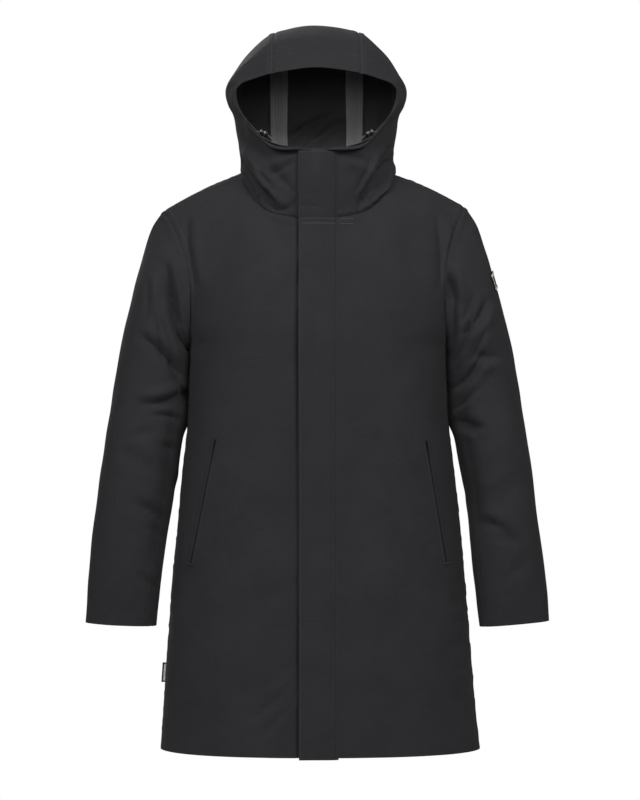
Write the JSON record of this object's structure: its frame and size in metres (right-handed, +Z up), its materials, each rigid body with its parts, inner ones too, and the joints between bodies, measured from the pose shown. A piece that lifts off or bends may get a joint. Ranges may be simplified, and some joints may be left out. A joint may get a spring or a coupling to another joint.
{
  "type": "hooded parka",
  "caption": "Thigh-length hooded parka in matte dark cloth, filled out and hollow, with a covered front zip, slanted side pockets and a lined three-panel hood.",
  "frame": {"origin": "the base of the wearer's neck, midway between the shoulders, where the wearer carries the coat", "axes": "+Z up the wearer, +X to the wearer's left, -Y to the wearer's front"},
  "size_m": [0.7305, 0.2693, 1.1392],
  "materials": {
    "shell": "matte tightly woven technical cloth, charcoal black",
    "lining": "soft black lining with a faint sheen",
    "tape": "grey woven seam tape",
    "zip": "near-black coated zip tape",
    "slider": "black enamelled metal",
    "plastic": "moulded black plastic",
    "cord": "thin grey elastic cord",
    "label": "woven label, navy black, bare"
  },
  "bodies": {
    "root": {"front_right": "shell", "front_left": "shell", "back": "shell", "hood_side_right": "shell", "hood_centre": "shell", "hood_side_left": "shell", "sleeve_right_upper": "shell", "sleeve_right_under": "shell", "sleeve_left_upper": "shell", "sleeve_left_under": "shell", "placket_flap": "shell", "pocket_welt_right": "shell", "pocket_welt_left": "shell", "hood_lining_right": "lining", "hood_lining_centre": "lining", "hood_lining_left": "lining", "pocket_bag_right": "lining", "pocket_bag_left": "lining", "hood_tape_right": "tape", "hood_tape_left": "tape", "front_zip": "zip", "pocket_zip_right": "zip", "pocket_zip_left": "zip", "zip_slider": "slider", "cord_lock_right": "plastic", "cord_lock_left": "plastic", "hood_cord_right": "cord", "hood_cord_left": "cord", "sleeve_patch": "label", "side_label": "label"}
  },
  "joints": []
}
